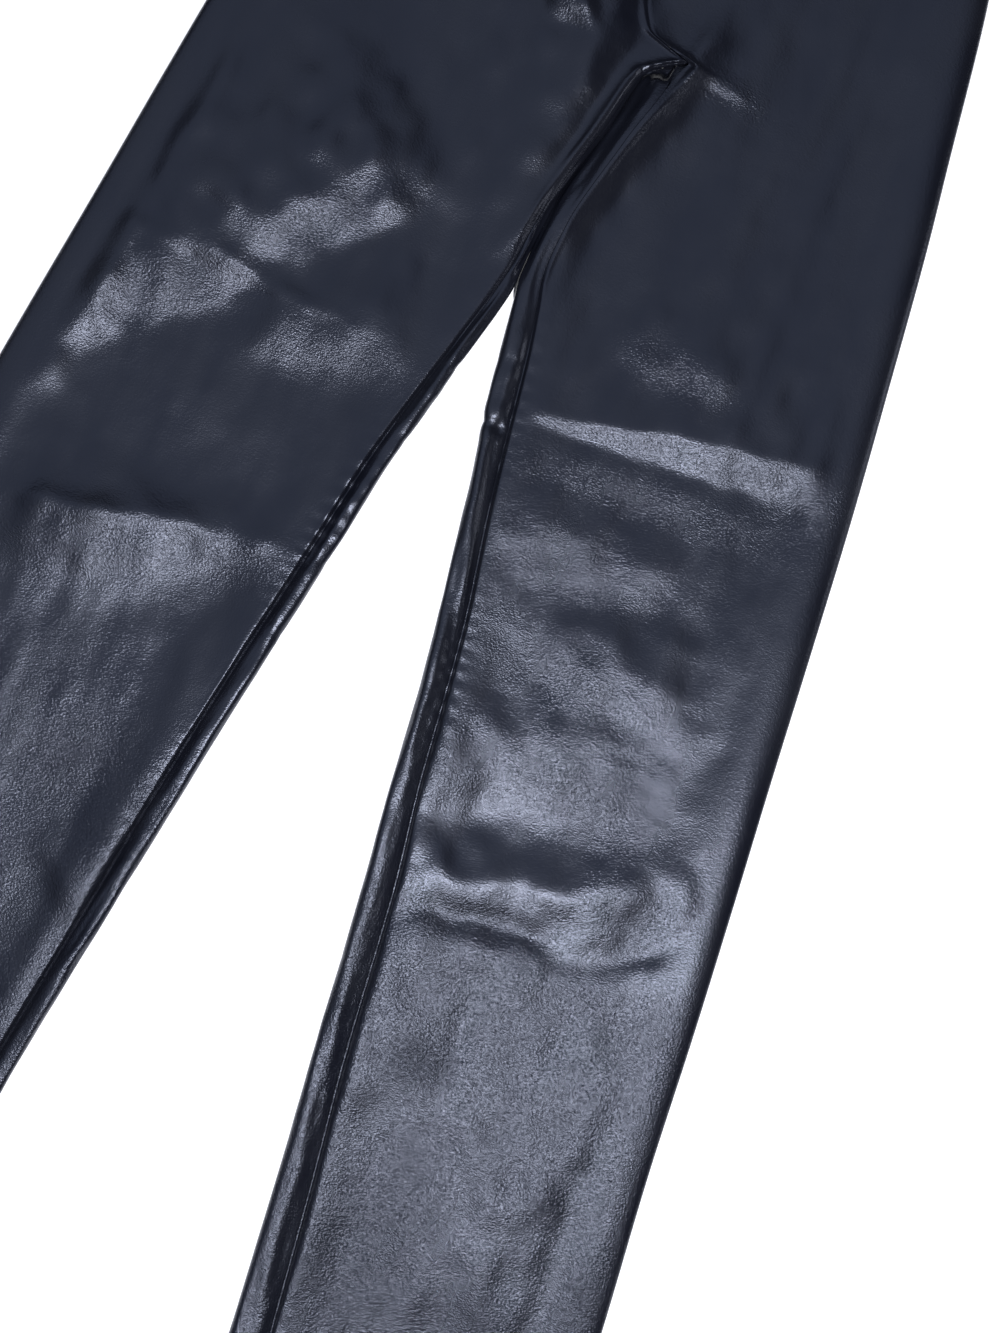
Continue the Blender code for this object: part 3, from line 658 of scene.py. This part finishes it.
def inner_wall(side, y):
    """The inner edge's cloth, from the crest down to the foot, where it meets the table. The
    foot is placed so that the turn reaches just to the edge."""
    crest, edge, bulge = (curve(INNER[side], name, y) for name in ("crest", "edge", "bulge"))
    foot = edge + bulge ** 2 / (crest - edge)
    height = top_height(side, crest, y)
    angle = np.linspace(0, math.pi, WALL_SAMPLES)
    down = (1 - np.cos(angle)) / 2
    q = crest + (foot - crest) * down - bulge * np.sin(angle)
    fall = down
    if side == "left":
        low, high = FLARE_BETWEEN
        along = ease((y - low) / FLARE_FADE) * ease((high - y) / FLARE_FADE)
        q -= FLARE * along * down ** FLARE_POWER
    else:
        even = 1 - (1 - angle / math.pi) ** ROLL_POWER
        fall = down + (even - down) * curve(ROLL, "share", y)
    return q, height * (1 - fall)


def front_line(side, y):
    """Points across a front panel, from the outer seam to its inner edge."""
    crest = curve(INNER[side], "crest", y)
    joined = y <= JOIN
    line = [outer_roll(side, y, 0, 90),
            upper_side(side, y, outer_edge(side, y) - EDGE_ROLL,
                       crest if joined else seam_line(side, y) - SPARE)]
    if joined:
        line.append(inner_wall(side, y))
    section = Section(*line)
    roll_end, top_end = section.ends[:2]
    seam = top_end - (curve(INNER[side], "strip", y) if joined else SPARE)
    return section.at(np.concatenate((
        np.linspace(GAP / 2, roll_end, ROLL_COLUMNS)[:-1],
        np.linspace(roll_end, seam - SEAM_ZONE, FLAT_COLUMNS)[:-1],
        np.linspace(seam - SEAM_ZONE, seam - half_gap(y), SEAM_COLUMNS),
    )))


def half_gap(y):
    """Half the gap at a front's inner seam, measured across the garment: where the front seam
    runs almost across, the pieces are further apart that way."""
    if y <= JOIN:
        return GAP / 2
    slope = (curve(FRONT_SEAM, "x", y + 1) - curve(FRONT_SEAM, "x", y - 1)) / 2
    return GAP / 2 * math.hypot(1, slope)


def back_line(side, y):
    """Points across a back panel, from its inner seam to the outer seam. Between the crotch
    point and the table the seam comes down evenly."""
    if y <= SADDLE_LOW:
        return wrapped_back(side, y)
    if y >= SADDLE_HIGH:
        return flat_back(side, y)
    share = (y - SADDLE_LOW) / (SADDLE_HIGH - SADDLE_LOW)
    return wrapped_back(side, SADDLE_LOW) * (1 - share) + flat_back(side, SADDLE_HIGH) * share


def wrapped_back(side, y):
    """Points across a back panel that comes up round the inner edge."""
    crest, strip = (curve(INNER[side], name, y) for name in ("crest", "strip"))
    wall = inner_wall(side, y)
    section = Section(
        upper_side(side, y, crest + max(strip, 0) + SPARE, crest),
        wall,
        (np.array((wall[0][-1], outer_edge(side, y) - EDGE_ROLL)), np.zeros(2)),
        outer_roll(side, y, -90, 0),
    )
    tuck = TUCK * ease((y - TUCK_FROM) / (SADDLE_LOW - TUCK_FROM))
    return share_back(section, section.ends[0] - strip + GAP / 2 + tuck, section.ends[1])


def flat_back(side, y):
    """Points across a back panel that lies flat as far as the back seam."""
    inner = SIDES[side] * curve(BACK_SEAM, "x", y)
    section = Section(
        (np.array((inner - SPARE, outer_edge(side, y) - EDGE_ROLL)), np.zeros(2)),
        outer_roll(side, y, -90, 0),
    )
    return share_back(section, SPARE + GAP / 2, SPARE + FLAT_WALL)


def share_back(section, seam, foot):
    """A back panel's columns along a section, from its seam past its foot to the outer seam."""
    table_end, outermost = section.ends[-2:]
    return section.at(np.concatenate((
        np.linspace(seam, foot, WALL_COLUMNS),
        np.linspace(foot, table_end, UNDER_COLUMNS)[1:],
        np.linspace(table_end, outermost - GAP / 2, ROLL_COLUMNS)[1:],
    )))


# ---------------- cloth

class Cloth:
    """A grid of points on a cloth's outer face, with its outward directions."""

    def __init__(self, side, line, rows, dip, walls):
        """line gives the points across one row, from the leg and the row's height."""
        self.rows = rows
        grid = []
        for y in rows:
            q, z = line(side, y)
            grid.append(np.stack((SIDES[side] * q, row_height(side, q, y, dip), z), axis=-1))
        self.outside = np.array(grid)
        self.turn = SIDES[side]
        self.walls = np.reshape(walls, (-1, 1, 1))
        self.find_outward()

    def press(self, heights):
        """Move the outer face out by these heights, but not below the table."""
        self.outside += self.out * heights[:, :, None]
        self.outside[:, :, 2] = np.maximum(self.outside[:, :, 2], 0.0)
        self.find_outward()

    def sink(self, shares):
        """Lower the outer face by these shares of its height, as far as the hollow's floor."""
        height = self.outside[:, :, 2]
        self.outside[:, :, 2] = np.maximum(height * (1 - shares),
                                           np.minimum(height, HOLLOW_FLOOR))
        self.find_outward()

    def find_outward(self):
        """Work out the outward directions, and from them the inner face."""
        across = np.gradient(self.outside, axis=1)
        down = np.gradient(self.outside, axis=0)
        out = np.cross(across, down) * self.turn
        self.out = out / np.linalg.norm(out, axis=-1, keepdims=True)
        self.inside = self.outside - self.out * self.walls

    def near(self, y, x):
        """A point near the inner edge and its outward direction, by its row's height and by x."""
        row = np.interp(-y, -self.rows, range(len(self.rows)))
        i = min(int(row), len(self.rows) - 2)
        points, outs = (grid[i] * (i + 1 - row) + grid[i + 1] * (row - i)
                        for grid in (self.outside, self.out))
        order = np.argsort(points[:, 0])
        point, out = (np.array([np.interp(x, points[order, 0], values[order, k])
                                for k in range(3)]) for values in (points, outs))
        return point, out / np.linalg.norm(out)


def garment_origin():
    """The garment frame's origin in the CAD model's frame, in metres: the CAD button's middle
    stands at BUTTON_AT."""
    low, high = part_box("button")
    middle = (low + high) / 2
    return np.array((middle.x - BUTTON_AT[0] * MM, middle.y - BUTTON_AT[1] * MM, 0.0))


ORIGIN = garment_origin()


def add_object(name, mesh, finish, nodes):
    """Link a mesh to the scene as a piece that rides with the part and replaces CAD nodes."""
    mesh.materials.append(finish)
    piece = bpy.data.objects.new(name, mesh)
    bpy.context.scene.collection.objects.link(piece)
    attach(piece, BODY)
    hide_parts(*nodes)
    return piece


def shell_faces(rows, columns, turn):
    """Faces of a closed wall between two grids of points, the outer one's numbers first."""
    size = rows * columns
    numbers = np.arange(size).reshape(rows, columns)
    a, b = numbers[:-1, :-1].ravel(), numbers[:-1, 1:].ravel()
    c, d = numbers[1:, 1:].ravel(), numbers[1:, :-1].ravel()
    outer = np.stack((a, b, c, d), axis=1)
    ring = np.concatenate((numbers[0], numbers[1:, -1], numbers[-1, -2::-1],
                           numbers[-2:0:-1, 0]))
    after = np.roll(ring, -1)
    border = np.stack((after, ring, ring + size, after + size), axis=1)
    faces = np.concatenate((outer, outer[:, ::-1] + size, border))
    return faces[:, ::-1] if turn < 0 else faces


def add_shell(name, outside, inside, turn, finish, nodes):
    """A closed wall of cloth between two grids of points, as a piece."""
    rows, columns = outside.shape[:2]
    corners = np.concatenate((outside.reshape(-1, 3), inside.reshape(-1, 3)))
    mesh = bpy.data.meshes.new(name)
    mesh.from_pydata(corners * MM + ORIGIN, [], shell_faces(rows, columns, turn).tolist())
    mesh.update()
    mesh.shade_smooth()
    mesh.set_sharp_from_angle(angle=math.radians(SHARP_ANGLE))
    grain = mesh.attributes.new("grain", "FLOAT", "POINT")
    grain.data.foreach_set("value", grain_strength(corners[:, 0], corners[:, 1]).astype(np.float32))
    return add_object(name, mesh, finish, nodes)


def leg_panel(side, line, dip):
    """The cloth of a front or back panel."""
    walls = np.where(LEG_ROWS < HEM + HEM_DEPTH, DOUBLE_WALL, WALL)
    return Cloth(side, line, LEG_ROWS, dip, walls)


def waistband(side, line, dip):
    """The cloth of a stretch of waistband."""
    return Cloth(side, line, BAND_ROWS, dip, [DOUBLE_WALL] * len(BAND_ROWS))


def sew(node, outside, inside, turn, leather):
    """The finer cloth of a CAD node, between two grids of points."""
    piece = add_shell(node + "_cloth", outside, inside, turn, leather, [node])


# ---------------- materials

LEATHER_SHADES = ((0.0066, 0.0073, 0.0115, 1), (0.0092, 0.0100, 0.0140, 1))
LEATHER_SHEEN = (0.80, 0.86, 1.0, 1)
RESIN_COLOUR = (0.012, 0.013, 0.016, 1)
PAPER_COLOUR = (0.93, 0.93, 0.94, 1)


def new_material(name):
    """A material with its nodes, its links and its Principled shader."""
    made = bpy.data.materials.new(name)
    made.use_nodes = True
    tree = made.node_tree
    return made, tree, tree.nodes["Principled BSDF"]


def add_node(tree, kind, settings=(), values=(), links=()):
    """A node with its properties, its fixed input values and its incoming links set."""
    node = tree.nodes.new(kind)
    for name, value in dict(settings).items():
        setattr(node, name, value)
    for name, value in dict(values).items():
        node.inputs[name].default_value = value
    for name, source in dict(links).items():
        tree.links.new(source, node.inputs[name])
    return node


def noise(tree, place, scale, detail, distortion=0.0):
    """Clouds between 0 and 1."""
    return add_node(tree, "ShaderNodeTexNoise",
                    values={"Scale": scale, "Detail": detail, "Distortion": distortion},
                    links={"Vector": place}).outputs["Fac"]


def drawn_out(tree, place, turn, scale):
    """The place, turned about z by so many degrees and multiplied along each axis."""
    return add_node(tree, "ShaderNodeMapping",
                    values={"Rotation": (0, 0, math.radians(turn)), "Scale": scale},
                    links={"Vector": place}).outputs["Vector"]


def ranged(tree, value, first, last, low, high):
    """A value that goes from first to last, made to go from low to high."""
    return add_node(tree, "ShaderNodeMapRange",
                    values={"From Min": first, "From Max": last, "To Min": low, "To Max": high},
                    links={"Value": value}).outputs["Result"]


def leather_material(name):
    """Polished blue-black coated cloth: a fine pebbled grain, finer creases where it has been
    bent, and a gloss that varies a little from place to place."""
    made, tree, shader = new_material(name)
    place = add_node(tree, "ShaderNodeTexCoord").outputs["Object"]
    strength = add_node(tree, "ShaderNodeAttribute", {"attribute_name": "grain"}).outputs["Fac"]

    cloud = noise(tree, drawn_out(tree, place, 12, (38, 15, 30)), 1.0, 4.0)
    colour = add_node(tree, "ShaderNodeValToRGB", links={"Fac": cloud})
    for step, position, shade in zip(colour.color_ramp.elements, (0.35, 0.68), LEATHER_SHADES):
        step.position = position
        step.color = shade
    tree.links.new(colour.outputs["Color"], shader.inputs["Base Color"])
    tree.links.new(ranged(tree, cloud, 0.3, 0.7, 0.22, 0.31), shader.inputs["Roughness"])
    shader.inputs["Specular Tint"].default_value = LEATHER_SHEEN

    pebbles = add_node(tree, "ShaderNodeTexVoronoi", {"feature": "SMOOTH_F1"},
                       {"Scale": 1.0, "Smoothness": 0.4, "Randomness": 1.0},
                       {"Vector": drawn_out(tree, place, -25, (780, 1150, 950))})
    fine = add_node(tree, "ShaderNodeBump", values={"Distance": 0.0003},
                    links={"Height": pebbles.outputs["Distance"],
                           "Strength": ranged(tree, strength, 0, GRAIN_TOP, 0.2, 1.9)})
    creases = noise(tree, drawn_out(tree, place, -20, (520, 1400, 980)), 1.0, 3.0, 0.3)
    bent = add_node(tree, "ShaderNodeBump", values={"Distance": 0.0004},
                    links={"Height": creases, "Normal": fine.outputs["Normal"],
                           "Strength": ranged(tree, strength, 0, GRAIN_TOP, 0.06, 1.6)})
    worn = add_node(tree, "ShaderNodeBump", values={"Strength": 0.15, "Distance": 0.0005},
                    links={"Height": noise(tree, place, 420.0, 2.0),
                           "Normal": bent.outputs["Normal"]})
    tree.links.new(worn.outputs["Normal"], shader.inputs["Normal"])
    return made


def resin_material():
    """Black polished resin, faintly clouded."""
    made, tree, shader = new_material("button_resin")
    place = add_node(tree, "ShaderNodeTexCoord").outputs["Object"]
    cloud = noise(tree, place, 300.0, 4.0)
    tree.links.new(ranged(tree, cloud, 0, 1, 0.2, 0.34), shader.inputs["Roughness"])
    shader.inputs["Base Color"].default_value = RESIN_COLOUR
    return made


def floor_material():
    """Plain white paper."""
    made, _, shader = new_material("floor")
    shader.inputs["Base Color"].default_value = PAPER_COLOUR
    shader.inputs["Roughness"].default_value = 0.9
    shader.inputs["Specular IOR Level"].default_value = 0.1
    shader.inputs["Emission Color"].default_value = (1, 1, 1, 1)
    shader.inputs["Emission Strength"].default_value = 0.6
    return made


# ---------------- pieces


def lapped_band(cloth):
    """The wearer's left end of the front waistband, lengthened into a tab that climbs over the
    other end and lies on it."""
    low, high = TAB_STEP
    climb_width, end_width = TAB_COLUMNS
    along = np.concatenate((steps(high, low, climb_width), steps(low, -TAB_LENGTH, end_width)[1:]))
    keep = cloth.outside[0, :, 0] > high + TAB_JOIN
    end, out = (np.repeat(grid[:, -1:], len(along), axis=1) for grid in (cloth.outside, cloth.out))
    end[:, :, 0] = along
    end[:, :, 2] += (DOUBLE_WALL + GAP) * ease((high - along) / (high - low))
    outside = np.concatenate((cloth.outside[:, keep], end), axis=1)
    out = np.concatenate((cloth.out[:, keep], out), axis=1)
    return outside, outside - out * DOUBLE_WALL


def fly_grid(front):
    """Points of the fly flap on the front, and their outward directions."""
    seam_x = front.outside[0, -1, 0]
    curved = FLY_ROUND - FLY_END
    rows = np.concatenate((steps(FLY_TOP, FLY_ROUND, FLY_ROW)[:-1],
                           FLY_ROUND - curved * np.sin(steps(0, 1, FLY_CURVE_ROW) * math.pi / 2)))
    lines = []
    for y in rows:
        fall = max(FLY_ROUND - y, 0.0) / curved
        width = FLY_WIDTH * max(math.sqrt(max(1 - fall ** 2, 0.0)), FLY_NARROWEST)
        lines.append([front.near(y, x)
                      for x in seam_x + FLY_INSET + width * steps(1, 0, FLY_COLUMN)])
    return (np.array([[pair[k] for pair in line] for line in lines]) for k in (0, 1))


def build_legs(leather):
    """The front and the back panel of each leg. Returns the fronts' cloths."""
    fronts = {}
    for side, turn in SIDES.items():
        front = fronts[side] = leg_panel(side, front_line, -FRONT_DIP)
        back = leg_panel(side, back_line, BACK_RISE)
        share = np.clip(np.arange(back.outside.shape[1]) / (WALL_COLUMNS - 1), 0, 1)[None, :]
        y = LEG_ROWS[:, None]
        back.press(ease((JOIN - y) / STRIP_FADE) * strip_relief(side, y, share))
        if side == "left":
            back.sink(hollow(y, share))
        sew("front_" + side, front.outside, front.inside, turn, leather)
        sew("back_" + side, back.outside, back.inside, turn, leather)
    return fronts


def build_waistband(leather):
    """The waistband's three stretches. Returns the height of the tab's top."""
    right = waistband("right", front_line, -FRONT_DIP)
    sew("waistband_front_right", right.outside, right.inside, -1, leather)
    tab, tab_inside = lapped_band(waistband("left", front_line, -FRONT_DIP))
    sew("waistband_front_left", tab, tab_inside, 1, leather)
    halves = [waistband(side, back_line, BACK_RISE) for side in SIDES]
    outside, inside = (
        np.concatenate((getattr(halves[0], face)[:, ::-1], getattr(halves[1], face)), axis=1)
        for face in ("outside", "inside"))
    sew("waistband_back", outside, inside, 1, leather)
    return tab[:, -1, 2].max()


def build_fly(front, leather):
    """The fly flap, on the left front."""
    points, outs = fly_grid(front)
    sew("fly_flap", points + outs * (GAP + WALL), points + outs * GAP, 1, leather)


def build_button(height, finish):
    """A turned resin button with a raised rim, at this height."""
    maker = bmesh.new()
    ring = [maker.verts.new((r * BUTTON_RADIUS * MM, 0, z * BUTTON_HEIGHT * MM))
            for r, z in BUTTON_PROFILE]
    edges = [maker.edges.new(pair) for pair in zip(ring, ring[1:])]
    bmesh.ops.spin(maker, geom=ring + edges, cent=(0, 0, 0), axis=(0, 0, 1),
                   angle=2 * math.pi, steps=BUTTON_STEPS, use_merge=True)
    bmesh.ops.remove_doubles(maker, verts=maker.verts, dist=BUTTON_MERGE)
    bmesh.ops.recalc_face_normals(maker, faces=maker.faces)
    shift = Vector(ORIGIN) + Vector((BUTTON_AT[0] * MM, BUTTON_AT[1] * MM, height * MM))
    bmesh.ops.translate(maker, verts=maker.verts, vec=shift)
    mesh = bpy.data.meshes.new("button_turned")
    maker.to_mesh(mesh)
    maker.free()
    mesh.shade_smooth()
    piece = add_object("button_turned", mesh, finish, ["button"])


# ---------------- studio

CAMERA_AT = (0.0844, -0.0846)  # the camera looks straight down at this place
CAMERA_TURN = 24.0  # degrees
CAMERA_VIEW = 0.793  # height of the view on the table
CAMERA_LENS = 65.0
CAMERA_SENSOR = 36.0
CAMERA_HEIGHT = CAMERA_VIEW * CAMERA_LENS / CAMERA_SENSOR
FLOOR_REACH = 6.0
FLOOR_LEVEL = -0.0002  # just below the cloth, so that the two faces don't mix

KEY_BACK = 0.46  # the light is this far below the view's middle
KEY_LEFT = 0.05  # and this far to its left
KEY_HEIGHT = 1.43
KEY_SIZE = (0.8, 0.18)
KEY_WATTS = 24.0
RIM_AT = (1.06, -0.04, 0.42)  # right of the view's middle, below it, and the height
RIM_SIZE = (0.4, 0.4)
RIM_WATTS = 1.2
KEY_COLOUR = (0.92, 0.92, 1.0)
SKY_BRIGHT = (0.52, 0.59, 0.77)  # overhead
SKY_DIM = (0.02, 0.022, 0.027)  # low down on every side
SKY_LEAN = (-0.22, 0.22)  # the bright part leans to the view's left and its top
SKY_EDGES = (0.70, 0.93)  # cosines of the angles at which it ends and begins


def in_view(right, down):
    """A place on the table by how far it is right of the view's middle and below it."""
    turn = math.radians(CAMERA_TURN)
    return (CAMERA_AT[0] + right * math.cos(turn) + down * math.sin(turn),
            CAMERA_AT[1] + right * math.sin(turn) - down * math.cos(turn))


def add_camera():
    """The camera, straight above the place it looks at."""
    camera = bpy.data.cameras.new("camera")
    camera.sensor_fit = "VERTICAL"
    camera.sensor_height = CAMERA_SENSOR
    camera.lens = CAMERA_LENS
    holder = bpy.data.objects.new("camera", camera)
    holder.location = (*CAMERA_AT, CAMERA_HEIGHT)
    holder.rotation_euler = (0, 0, math.radians(CAMERA_TURN))
    bpy.context.scene.collection.objects.link(holder)
    bpy.context.scene.camera = holder


def add_light(name, right, down, height, size, watts, colour):
    """A rectangular soft light, its long side across the view, facing the view's middle."""
    lamp = bpy.data.lights.new(name, "AREA")
    lamp.shape = "RECTANGLE"
    lamp.size, lamp.size_y = size
    lamp.energy = watts
    lamp.color = colour
    holder = bpy.data.objects.new(name, lamp)
    holder.location = (*in_view(right, down), height)
    aim = Vector((*CAMERA_AT, 0)) - holder.location
    holder.rotation_euler = aim.to_track_quat("-Z", "Y").to_euler()
    bpy.context.scene.collection.objects.link(holder)


def add_floor():
    """A plain square floor."""
    mesh = bpy.data.meshes.new("floor")
    corners = [(x * FLOOR_REACH, y * FLOOR_REACH, FLOOR_LEVEL)
               for x, y in ((-1, -1), (1, -1), (1, 1), (-1, 1))]
    mesh.from_pydata(corners, [], [(0, 1, 2, 3)])
    mesh.materials.append(floor_material())
    floor = bpy.data.objects.new("floor", mesh)
    bpy.context.scene.collection.objects.link(floor)


def add_sky():
    """Soft light from overhead, leaning to one side, with dim sides."""
    world = bpy.data.worlds.new("studio")
    world.use_nodes = True
    tree = world.node_tree
    middle = np.array(in_view(0, 0))
    lean = np.array(in_view(SKY_LEAN[0], -SKY_LEAN[1])) - middle
    seen = add_node(tree, "ShaderNodeTexCoord").outputs["Generated"]
    high = add_node(tree, "ShaderNodeVectorMath", {"operation": "DOT_PRODUCT"},
                    links={0: seen})
    high.inputs[1].default_value = (*lean, math.sqrt(1 - lean @ lean))
    ramp = add_node(tree, "ShaderNodeMapRange", {"interpolation_type": "SMOOTHSTEP"},
                    {"From Min": SKY_EDGES[0], "From Max": SKY_EDGES[1]},
                    {"Value": high.outputs["Value"]})
    mix = add_node(tree, "ShaderNodeMix", {"data_type": "RGBA"},
                   links={"Factor": ramp.outputs["Result"]})
    mix.inputs["A"].default_value = (*SKY_DIM, 1)
    mix.inputs["B"].default_value = (*SKY_BRIGHT, 1)
    tree.links.new(mix.outputs["Result"], tree.nodes["Background"].inputs["Color"])
    bpy.context.scene.world = world


bpy.context.scene.view_settings.view_transform = "Standard"
add_floor()
add_light("key", -KEY_LEFT, KEY_BACK, KEY_HEIGHT, KEY_SIZE, KEY_WATTS, KEY_COLOUR)
add_light("rim", *RIM_AT, RIM_SIZE, RIM_WATTS, KEY_COLOUR)
add_sky()
add_camera()
leather = leather_material("faux_leather")
fronts = build_legs(leather)
tab_top = build_waistband(leather)
build_fly(fronts["left"], leather)
build_button(tab_top + GAP, resin_material())
